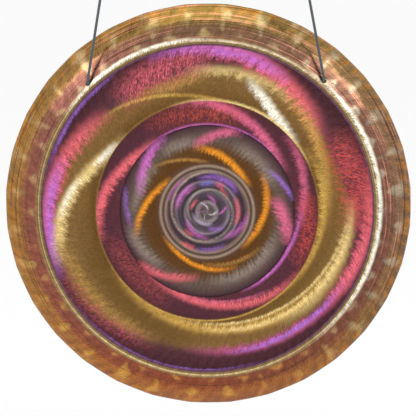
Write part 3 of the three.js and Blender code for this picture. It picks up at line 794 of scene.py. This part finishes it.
# The rim: olive and mauve outside the shoulder, its colour changing round the gong as painted light, lighter
# on some sides and darker on others. The hammer's facets are picked out by painted shade, with painted
# highlights at their proud corners, and the lathe lines by painted salmon highlights on the upper side and
# painted shade in their grooves.
rim = add(tree, "ShaderNodeValToRGB", {0: turn}, stops=[
    (0.0, "#80624c"), (0.07, "#8c6a4e"), (0.15, "#8b7144"), (0.25, "#8f7238"), (0.35, "#8d6b3c"),
    (0.44, "#9c7440"), (0.5, "#a0703c"), (0.58, "#a06c38"), (0.66, "#9c6030"), (0.75, "#9a5c34"),
    (0.83, "#945c30"), (0.9, "#84603a"), (1.0, "#80624c"),
]).outputs[0]
mauve = add(tree, "ShaderNodeValToRGB", {0: turn}, stops=[
    (0.0, "#7c5548"), (0.12, "#86604e"), (0.25, "#7e5f46"), (0.36, "#8a5c50"), (0.48, "#8e5648"),
    (0.6, "#8a5040"), (0.72, "#8c4c34"), (0.88, "#7a4c3c"), (1.0, "#7c5548"),
]).outputs[0]
rim = add(tree, "ShaderNodeMix", {
    0: add(tree, "ShaderNodeMapRange", {
        0: add(tree, "ShaderNodeMath", {0: scratch, 1: 0.03, 2: share_out}, operation="MULTIPLY_ADD"),
        1: 0.935,
        2: 0.885,
    }, interpolation_type="SMOOTHSTEP"),
    6: rim,
    7: mauve,
}, data_type="RGBA").outputs[2]
edge_glow = add(tree, "ShaderNodeMath", {
    0: add(tree, "ShaderNodeMapRange", {
        0: share_out,
        1: 0.93,
        2: 0.985,
    }, interpolation_type="SMOOTHSTEP"),
    1: add(tree, "ShaderNodeMapRange", {0: tufts, 1: 0.46, 2: 0.6}, interpolation_type="SMOOTHSTEP"),
}, operation="MULTIPLY")
rim = add(tree, "ShaderNodeMix", {
    0: add(tree, "ShaderNodeMath", {0: edge_glow, 1: 0.55}, operation="MULTIPLY"),
    6: rim,
    7: linear("#bd7c2c"),
}, data_type="RGBA").outputs[2]
blotch = add(tree, "ShaderNodeTexNoise", {"Vector": on_plate, "Scale": 34.0, "Detail": 3.0}).outputs[0]
# Painted highlights on the proud corners of the hammer's facets.
facet_glint = 0.0
for (row_radius, stagger), glint_radius, glint_height, glint_width, spread in zip(
    BLOW_ROWS, (0.343, 0.371), (0.009, 0.021), (0.16, 0.15), (-0.5, 0.55),
):
    cell = add(tree, "ShaderNodeMath", {
        0: add(tree, "ShaderNodeMath", {0: turn, 1: float(BLOWS), 2: stagger}, operation="MULTIPLY_ADD"),
    }, operation="FRACT")
    from_edge = add(tree, "ShaderNodeMath", {
        0: 0.5,
        1: add(tree, "ShaderNodeMath", {
            0: add(tree, "ShaderNodeMath", {0: cell, 1: 0.5}, operation="SUBTRACT"),
        }, operation="ABSOLUTE"),
    }, operation="SUBTRACT")
    up_glint = add(tree, "ShaderNodeMath", {
        0: add(tree, "ShaderNodeMath", {0: radius, 1: glint_radius}, operation="SUBTRACT"),
        1: glint_height,
    }, operation="DIVIDE")
    wedge = add(tree, "ShaderNodeMath", {
        0: add(tree, "ShaderNodeMath", {0: up_glint, 1: spread, 2: 1.0}, operation="MULTIPLY_ADD"),
        1: 0.25,
    }, operation="MAXIMUM")
    from_edge = add(tree, "ShaderNodeMath", {
        0: from_edge,
        1: add(tree, "ShaderNodeMath", {0: wedge, 1: glint_width}, operation="MULTIPLY"),
    }, operation="DIVIDE")
    reach = add(tree, "ShaderNodeMath", {
        0: add(tree, "ShaderNodeMath", {
            0: up_glint,
            1: up_glint,
            2: add(tree, "ShaderNodeMath", {0: from_edge, 1: from_edge}, operation="MULTIPLY"),
        }, operation="MULTIPLY_ADD"),
    }, operation="SQRT")
    reach = add(tree, "ShaderNodeMath", {
        0: reach,
        1: add(tree, "ShaderNodeMath", {
            0: scratch,
            1: 0.6,
            2: add(tree, "ShaderNodeMath", {0: blotch, 1: 4.4, 2: -2.1}, operation="MULTIPLY_ADD"),
        }, operation="MULTIPLY_ADD"),
    }, operation="ADD")
    facet_glint = add(tree, "ShaderNodeMath", {
        0: facet_glint,
        1: add(tree, "ShaderNodeMapRange", {0: reach, 1: 1.25, 2: 0.1}, interpolation_type="SMOOTHSTEP"),
    }, operation="MAXIMUM")
# Painted shade on the facets: darker in the middle of each blow, lighter towards its corners.
height = blow_height(tree, radius, turn)
facet_painted_shade = add(tree, "ShaderNodeMath", {0: height, 1: 0.34, 2: 0.86}, operation="MULTIPLY_ADD")
facet_glint = add(tree, "ShaderNodeMath", {0: facet_glint, 1: 0.52}, operation="MULTIPLY")
facet_glint_colour = add(tree, "ShaderNodeValToRGB", {0: turn}, stops=[
    (0.0, "#b4aa92"), (0.1, "#cfc6ac"), (0.25, "#cdb878"), (0.36, "#d2bc8c"), (0.47, "#bfa070"),
    (0.58, "#c8a050"), (0.7, "#d0a048"), (0.82, "#c89444"), (0.92, "#aaa084"), (1.0, "#b4aa92"),
]).outputs[0]
rim = add(tree, "ShaderNodeVectorMath", {0: rim, "Scale": facet_painted_shade}, operation="SCALE")
rim = add(tree, "ShaderNodeMix", {0: facet_glint, 6: rim, 7: facet_glint_colour}, data_type="RGBA").outputs[2]
# Painted highlights of the light from above: salmon along the lathe lines on the rim's upper side, from the
# right round past the top.
upper_rim_side = add(tree, "ShaderNodeMath", {
    0: add(tree, "ShaderNodeMapRange", {0: turn, 1: 0.42, 2: 0.3}, interpolation_type="SMOOTHSTEP"),
    1: add(tree, "ShaderNodeMapRange", {0: turn, 1: 0.9, 2: 0.97}, interpolation_type="SMOOTHSTEP"),
}, operation="ADD")
painted_salmon_highlight = add(tree, "ShaderNodeMath", {
    0: add(tree, "ShaderNodeMapRange", {0: lathe, 1: 0.56, 2: 0.66}, interpolation_type="SMOOTHSTEP"),
    1: upper_rim_side,
}, operation="MULTIPLY")
rim = add(tree, "ShaderNodeMix", {
    0: add(tree, "ShaderNodeMath", {0: painted_salmon_highlight, 1: 0.75}, operation="MULTIPLY"),
    6: rim,
    7: linear("#e89a80"),
}, data_type="RGBA").outputs[2]
# Painted shade in the lathe grooves: the rim is darkened where the lathe lines sink.
sunk = add(tree, "ShaderNodeMath", {
    0: add(tree, "ShaderNodeMapRange", {0: lathe, 1: 0.45, 2: 0.34}, interpolation_type="SMOOTHSTEP"),
    1: 0.6,
}, operation="MULTIPLY")
rim = add(tree, "ShaderNodeMix", {0: sunk, 6: rim, 7: linear("#50342a")}, data_type="RGBA").outputs[2]
colour = add(tree, "ShaderNodeMix", {
    0: add(tree, "ShaderNodeMapRange", {
        0: share_out,
        1: 0.835,
        2: 0.845,
    }, interpolation_type="SMOOTHSTEP"),
    6: colour,
    7: rim,
}, data_type="RGBA").outputs[2]
# Painted highlights and painted shade across the shoulder's bead, as thin light and dark rings.
shoulder_painted_lines = add(tree, "ShaderNodeValToRGB", {0: share_out}, stops=[
    (0.801, "#4a2c34"), (0.8045, "#7a5476"), (0.808, "#3a2226"), (0.813, "#8a7050"), (0.819, "#6e5638"),
    (0.824, "#c8ac7c"), (0.829, "#4a3426"), (0.834, "#a08054"), (0.842, "#7c5a44"),
]).outputs[0]
on_shoulder = add(tree, "ShaderNodeMath", {
    0: add(tree, "ShaderNodeMapRange", {0: share_out, 1: 0.8, 2: 0.804}, interpolation_type="SMOOTHSTEP"),
    1: add(tree, "ShaderNodeMapRange", {
        0: share_out,
        1: 0.846,
        2: 0.838,
    }, interpolation_type="SMOOTHSTEP"),
}, operation="MULTIPLY")
colour = add(tree, "ShaderNodeMix", {0: on_shoulder, 6: colour, 7: shoulder_painted_lines}, data_type="RGBA").outputs[2]
# Painted highlights along the shoulder.
for row in (
    ("rim", [(-52, 332), (-28, 333), (-6, 336), (20, 337), (40, 336), (56, 332)], 4.2, 1.0, HIGHLIGHT_WHITE, 0.0),
    ("rim", [(88, 333), (110, 334), (130, 333), (146, 330)], 3.2, 1.0, HIGHLIGHT_WHITE, 0.0),
    ("rim", [(45, 332), (72, 331), (100, 332)], 2.2, 0.7, "#e8d8b8", 0.0),
    ("rim", [(200, 331), (240, 331), (310, 331)], 1.6, 0.7, "#e0c890", 0.0),
):
    colour = streak(colour, *row)
colour = add(tree, "ShaderNodeVectorMath", {0: colour, "Scale": light}, operation="SCALE")

on_front = add(tree, "ShaderNodeAttribute", attribute_name="front").outputs["Fac"]
back_colour = add(tree, "ShaderNodeValToRGB", {
    0: add(tree, "ShaderNodeMath", {0: scratch, 1: 0.04, 2: share_out}, operation="MULTIPLY_ADD"),
}, stops=[
    (0.0, "#6a5140"), (0.23, "#5c3f2c"), (0.42, "#4c3230"), (0.55, "#6e5230"), (0.68, "#543838"),
    (0.8, "#45302e"), (0.83, "#7c6444"), (0.86, "#5c4230"), (1.0, "#6e5034"),
]).outputs[0]
back_colour = add(tree, "ShaderNodeVectorMath", {0: back_colour, "Scale": light}, operation="SCALE")
# The painted highlights on the facet corners show at the back as well.
back_colour = add(tree, "ShaderNodeMix", {
    0: add(tree, "ShaderNodeMath", {
        0: facet_glint,
        1: add(tree, "ShaderNodeMapRange", {
            0: share_out,
            1: 0.82,
            2: 0.86,
        }, interpolation_type="SMOOTHSTEP"),
    }, operation="MULTIPLY"),
    6: back_colour,
    7: linear("#9a7a50"),
}, data_type="RGBA").outputs[2]
colour = add(tree, "ShaderNodeMix", {0: on_front, 6: back_colour, 7: colour}, data_type="RGBA").outputs[2]
tree.links.new(colour, shader.inputs["Base Color"])
shader.inputs["Metallic"].default_value = 1
gloss = add(tree, "ShaderNodeMath", {
    0: add(tree, "ShaderNodeMapRange", {0: share_out, 1: 0.79, 2: 0.84}, interpolation_type="SMOOTHSTEP"),
    1: -0.12,
    2: 0.36,
}, operation="MULTIPLY_ADD")
gloss = add(tree, "ShaderNodeMath", {0: scratch, 1: 0.12, 2: gloss}, operation="MULTIPLY_ADD")
tree.links.new(gloss.outputs[0], shader.inputs["Roughness"])
relief = add(tree, "ShaderNodeMath", {
    0: strokes,
    1: 0.5,
    2: add(tree, "ShaderNodeMath", {0: lathe, 1: 0.6}, operation="MULTIPLY"),
}, operation="MULTIPLY_ADD")
relief = add(tree, "ShaderNodeMath", {
    0: add(tree, "ShaderNodeMath", {0: rib_wave, 1: rib_zone}, operation="MULTIPLY"),
    1: 0.25,
    2: relief,
}, operation="MULTIPLY_ADD")
bump = add(tree, "ShaderNodeBump", {"Height": relief, "Strength": 0.5, "Distance": 0.5 * mm})
tree.links.new(bump.outputs[0], shader.inputs["Normal"])

finished(gong, spun, heat_tinted_bronze_with_painted_light)
hang = Matrix.Translation(joint_at["gong_tilt"]) @ Matrix.Rotation(-HANG_TILT, 4, "X")
gong.data.transform(hang @ Matrix.Translation(PLATE_CENTRE))
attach(gong, "gong")
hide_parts("gong_plate")

# ---- Hole bushes --------------------------------------------------------------------------
# A moulded black rubber ring in each hole keeps the bronze edge off the cord. Its lip bears on the
# front of the plate and its sleeve runs through, so only the round black lip shows.

# Moulded rubber: near black and matt, with a faint grey bloom in 1 mm specks.
moulded_rubber = bpy.data.materials.new("moulded_black_rubber")
moulded_rubber.use_nodes = True
tree = moulded_rubber.node_tree
shader = tree.nodes["Principled BSDF"]
rubber_place = add(tree, "ShaderNodeTexCoord").outputs["Object"]
bloom = add(tree, "ShaderNodeTexNoise", {"Vector": rubber_place, "Scale": 900.0, "Detail": 3.0})
rubber_colour = add(tree, "ShaderNodeMix", {
    0: bloom, 6: linear("#0e0f10"), 7: linear("#25272a")}, data_type="RGBA")
tree.links.new(rubber_colour.outputs[2], shader.inputs["Base Color"])
rubber_gloss = add(tree, "ShaderNodeMapRange", {0: bloom, 3: 0.45, 4: 0.7})
tree.links.new(rubber_gloss.outputs[0], shader.inputs["Roughness"])
rubber_bump = add(tree, "ShaderNodeBump", {"Height": bloom, "Strength": 0.3, "Distance": 0.1 * mm})
tree.links.new(rubber_bump.outputs[0], shader.inputs["Normal"])


def turned(name, profile, segments, placing, material):
    """A ring turned from a closed (radius, along) profile round its own Y axis, then placed."""
    count = len(profile)
    points = [
        (r * cos(2 * pi * i / segments), along, r * sin(2 * pi * i / segments))
        for i in range(segments) for r, along in profile
    ]
    faces = []
    for i in range(segments):
        here, there = i * count, (i + 1) % segments * count
        for j in range(count):
            k = (j + 1) % count
            faces.append((here + j, there + j, there + k, here + k))
    mesh = bpy.data.meshes.new(name)
    mesh.from_pydata(points, [], faces)
    mesh.shade_smooth()
    mesh.transform(placing)
    mesh.materials.append(material)
    return mesh_object(name, mesh)


def rounded(corners, radius, steps=4):
    """A closed profile with each (radius, along) corner rounded off."""
    points = []
    for i, corner in enumerate(corners):
        before, after = corners[i - 1], corners[(i + 1) % len(corners)]
        start = corner + (before - corner).normalized() * min(radius, (before - corner).length * 0.45)
        end = corner + (after - corner).normalized() * min(radius, (after - corner).length * 0.45)
        for k in range(steps + 1):
            t = k / steps
            points.append(start * (1 - t) ** 2 + corner * 2 * t * (1 - t) + end * t * t)
    return points


BUSH_CORNERS = [Vector(corner) * mm for corner in (
    (2.8, 4.0), (4.4, 4.0), (4.4, 4.8), (3.7, 4.8), (3.7, 8.6), (2.8, 8.6))]
for word, side in SIDES:
    bend, up, through = cord_frame(side)
    placing = Matrix.Translation(bend) @ Vector((0, 1, 0)).rotation_difference(through).to_matrix().to_4x4()
    bush = turned(f"{word}_bush", rounded(BUSH_CORNERS, 0.4 * mm), 48, placing, moulded_rubber)
    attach(bush, "gong")
    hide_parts(f"{word}_hole_bush")

# ---- Hooks --------------------------------------------------------------------------------
# Each is a 6 mm steel rod bent to a J and welded under a pressed plate with two screw holes, then
# zinc plated. The cord's loop hangs in the bend.

# Zinc plate: pale grey metal, faintly clouded, with 4 mm spangles and fine drawn lines.
zinc_plated_steel = bpy.data.materials.new("zinc_plated_steel")
zinc_plated_steel.use_nodes = True
tree = zinc_plated_steel.node_tree
shader = tree.nodes["Principled BSDF"]
shader.inputs["Metallic"].default_value = 1
steel_place = add(tree, "ShaderNodeTexCoord").outputs["Object"]
spangle = add(tree, "ShaderNodeTexVoronoi", {"Vector": steel_place, "Scale": 260.0, "Randomness": 1.0})
cloud = add(tree, "ShaderNodeTexNoise", {"Vector": steel_place, "Scale": 90.0, "Detail": 4.0})
drawn = add(tree, "ShaderNodeMapping", {"Vector": steel_place, "Scale": (900, 900, 60)})
drawn = add(tree, "ShaderNodeTexNoise", {"Vector": drawn, "Scale": 1.0, "Detail": 2.0})
zinc_colour = add(tree, "ShaderNodeMix", {
    0: cloud, 6: linear("#8f959b"), 7: linear("#c9ccce")}, data_type="RGBA")
tree.links.new(zinc_colour.outputs[2], shader.inputs["Base Color"])
zinc_gloss = add(tree, "ShaderNodeMath", {
    0: spangle.outputs["Distance"], 1: 0.35, 2: 0.24}, operation="MULTIPLY_ADD")
tree.links.new(zinc_gloss.outputs[0], shader.inputs["Roughness"])
zinc_bump = add(tree, "ShaderNodeBump", {"Height": drawn, "Strength": 0.25, "Distance": 0.05 * mm})
tree.links.new(zinc_bump.outputs[0], shader.inputs["Normal"])

HOOK_X = 182 * mm
HOOK_PLATE_CORNER_X = 26.5 * mm
HOOK_PLATE_CORNER_Y = 7.5 * mm
HOOK_PLATE_ROUND = 5 * mm
HOOK_PLATE_BEVEL = 0.5 * mm
HOOK_PLATE_FLAT = 1 * mm
SCREW_HOLE_X = 22 * mm
SCREW_HOLE_RADIUS = 2.6 * mm
HOOK_BEND_RADIUS = 12 * mm
HOOK_BEND_DROP = 26 * mm
ROD_RADIUS = 3 * mm


def closed_spline(curve_data, points):
    spline = curve_data.splines.new("POLY")
    spline.points.add(len(points) - 1)
    for point, (x, y) in zip(spline.points, points):
        point.co = (x, y, 0, 1)
    spline.use_cyclic_u = True


def circle(centre, radius, start, end, steps):
    return [
        (centre[0] + radius * cos(radians(start + (end - start) * i / steps)),
         centre[1] + radius * sin(radians(start + (end - start) * i / steps)))
        for i in range(steps + 1)
    ]


for word, side in SIDES:
    plate = bpy.data.curves.new("hook_plate_outline", "CURVE")
    plate.dimensions = "2D"
    plate.fill_mode = "BOTH"
    plate.extrude = HOOK_PLATE_FLAT
    plate.bevel_depth = HOOK_PLATE_BEVEL
    plate.bevel_resolution = 3
    outline = []
    for i, (x, y) in enumerate(((1, 1), (-1, 1), (-1, -1), (1, -1))):
        corner = (x * HOOK_PLATE_CORNER_X, y * HOOK_PLATE_CORNER_Y)
        outline += circle(corner, HOOK_PLATE_ROUND, 90 * i, 90 * i + 90, 8)
    closed_spline(plate, outline)
    for x in (-SCREW_HOLE_X, SCREW_HOLE_X):
        closed_spline(plate, circle((x, 0), SCREW_HOLE_RADIUS + HOOK_PLATE_BEVEL, 0, 345, 23))
    plate_object = mesh_object("hook_plate", plate)
    evaluated = plate_object.evaluated_get(bpy.context.evaluated_depsgraph_get())
    plate_mesh = bpy.data.meshes.new_from_object(evaluated)
    half_plate = HOOK_PLATE_FLAT + HOOK_PLATE_BEVEL
    plate_mesh.transform(Matrix.Translation((side * HOOK_X, 0, -half_plate)))
    bpy.data.objects.remove(plate_object)

    rod = bpy.data.curves.new("hook_rod_line", "CURVE")
    rod.dimensions = "3D"
    rod.bevel_depth = ROD_RADIUS
    rod.bevel_resolution = 8
    rod.use_fill_caps = True
    shank_x = side * (HOOK_X + HOOK_BEND_RADIUS)
    line = [(Vector((shank_x, 0, -z * mm)), flare) for z, flare in (
        (2.7, 1.7), (3.2, 1.6), (3.9, 1.38), (4.8, 1.16), (5.8, 1.04), (7, 1), (12, 1), (18, 1), (24, 1))]
    for i in range(25):
        angle_round = pi * i / 24
        line.append((Vector((
            side * (HOOK_X + HOOK_BEND_RADIUS * cos(angle_round)), 0,
            -HOOK_BEND_DROP - HOOK_BEND_RADIUS * sin(angle_round))), 1))
    for rise, thin in ((2, 1), (3, 0.97), (4, 0.85), (4.6, 0.66), (4.9, 0.4), (5, 0.12)):
        tip_x = side * (HOOK_X - HOOK_BEND_RADIUS)
        line.append((Vector((tip_x, 0, -HOOK_BEND_DROP + rise * mm)), thin))
    spline = rod.splines.new("POLY")
    spline.points.add(len(line) - 1)
    for point, (spot, thickness) in zip(spline.points, line):
        point.co = (*spot, 1)
        point.radius = thickness
    rod_object = mesh_object("hook_rod", rod)
    evaluated = rod_object.evaluated_get(bpy.context.evaluated_depsgraph_get())
    rod_mesh = bpy.data.meshes.new_from_object(evaluated)
    bpy.data.objects.remove(rod_object)

    forged = bmesh.new()
    forged.from_mesh(plate_mesh)
    forged.from_mesh(rod_mesh)
    bmesh.ops.remove_doubles(forged, verts=forged.verts, dist=0.01 * mm)
    bmesh.ops.recalc_face_normals(forged, faces=forged.faces)
    hook_mesh = bpy.data.meshes.new(f"{word}_j_hook")
    forged.to_mesh(hook_mesh)
    forged.free()
    hook_mesh.shade_smooth()
    hook_mesh.set_sharp_from_angle(angle=radians(40))
    hook_mesh.materials.clear()
    hook_mesh.materials.append(zinc_plated_steel)
    hook = mesh_object(f"{word}_j_hook", hook_mesh)
    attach(hook, "hooks")
    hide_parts(f"{word}_hook")

# ---- Studio -------------------------------------------------------------------------------
# A plain pale floor well below the gong and a white surround, which does most of the lighting, with
# three soft lights that pick out the plate's shoulder.

floor_mesh = bpy.data.meshes.new("floor")
floor_mesh.from_pydata([(-20, -6, -1.3), (20, -6, -1.3), (20, 40, -1.3), (-20, 40, -1.3)], [], [(0, 1, 2, 3)])
floor = mesh_object("floor", floor_mesh)
floor_paint = bpy.data.materials.new("floor_paint")
floor_paint.use_nodes = True
floor_paint.node_tree.nodes["Principled BSDF"].inputs["Base Color"].default_value = linear("#f4f4f4")
floor_paint.node_tree.nodes["Principled BSDF"].inputs["Roughness"].default_value = 0.9
floor.data.materials.append(floor_paint)

world = bpy.data.worlds.new("surround")
world.use_nodes = True
world.node_tree.nodes["Background"].inputs["Color"].default_value = (1, 1, 1, 1)
world.node_tree.nodes["Background"].inputs["Strength"].default_value = 1.05
scene.world = world


def softbox(name, place, size, watts):
    """A large soft light at place, turned to the gong."""
    lamp = bpy.data.lights.new(name, "AREA")
    lamp.shape = "RECTANGLE"
    lamp.size, lamp.size_y = size
    lamp.energy = watts
    fixture = bpy.data.objects.new(name, lamp)
    fixture.location = place
    fixture.rotation_euler = (Vector(place) - CAMERA_AIM).to_track_quat("Z", "Y").to_euler()
    scene.collection.objects.link(fixture)


softbox("key_softbox", (2.4, -2.2, 1.5), (0.9, 0.9), 11)
softbox("fill_softbox", (-2.3, -2.0, 1.4), (0.7, 0.9), 8)
softbox("top_softbox", (0.0, -0.6, 2.4), (2.4, 0.8), 8)
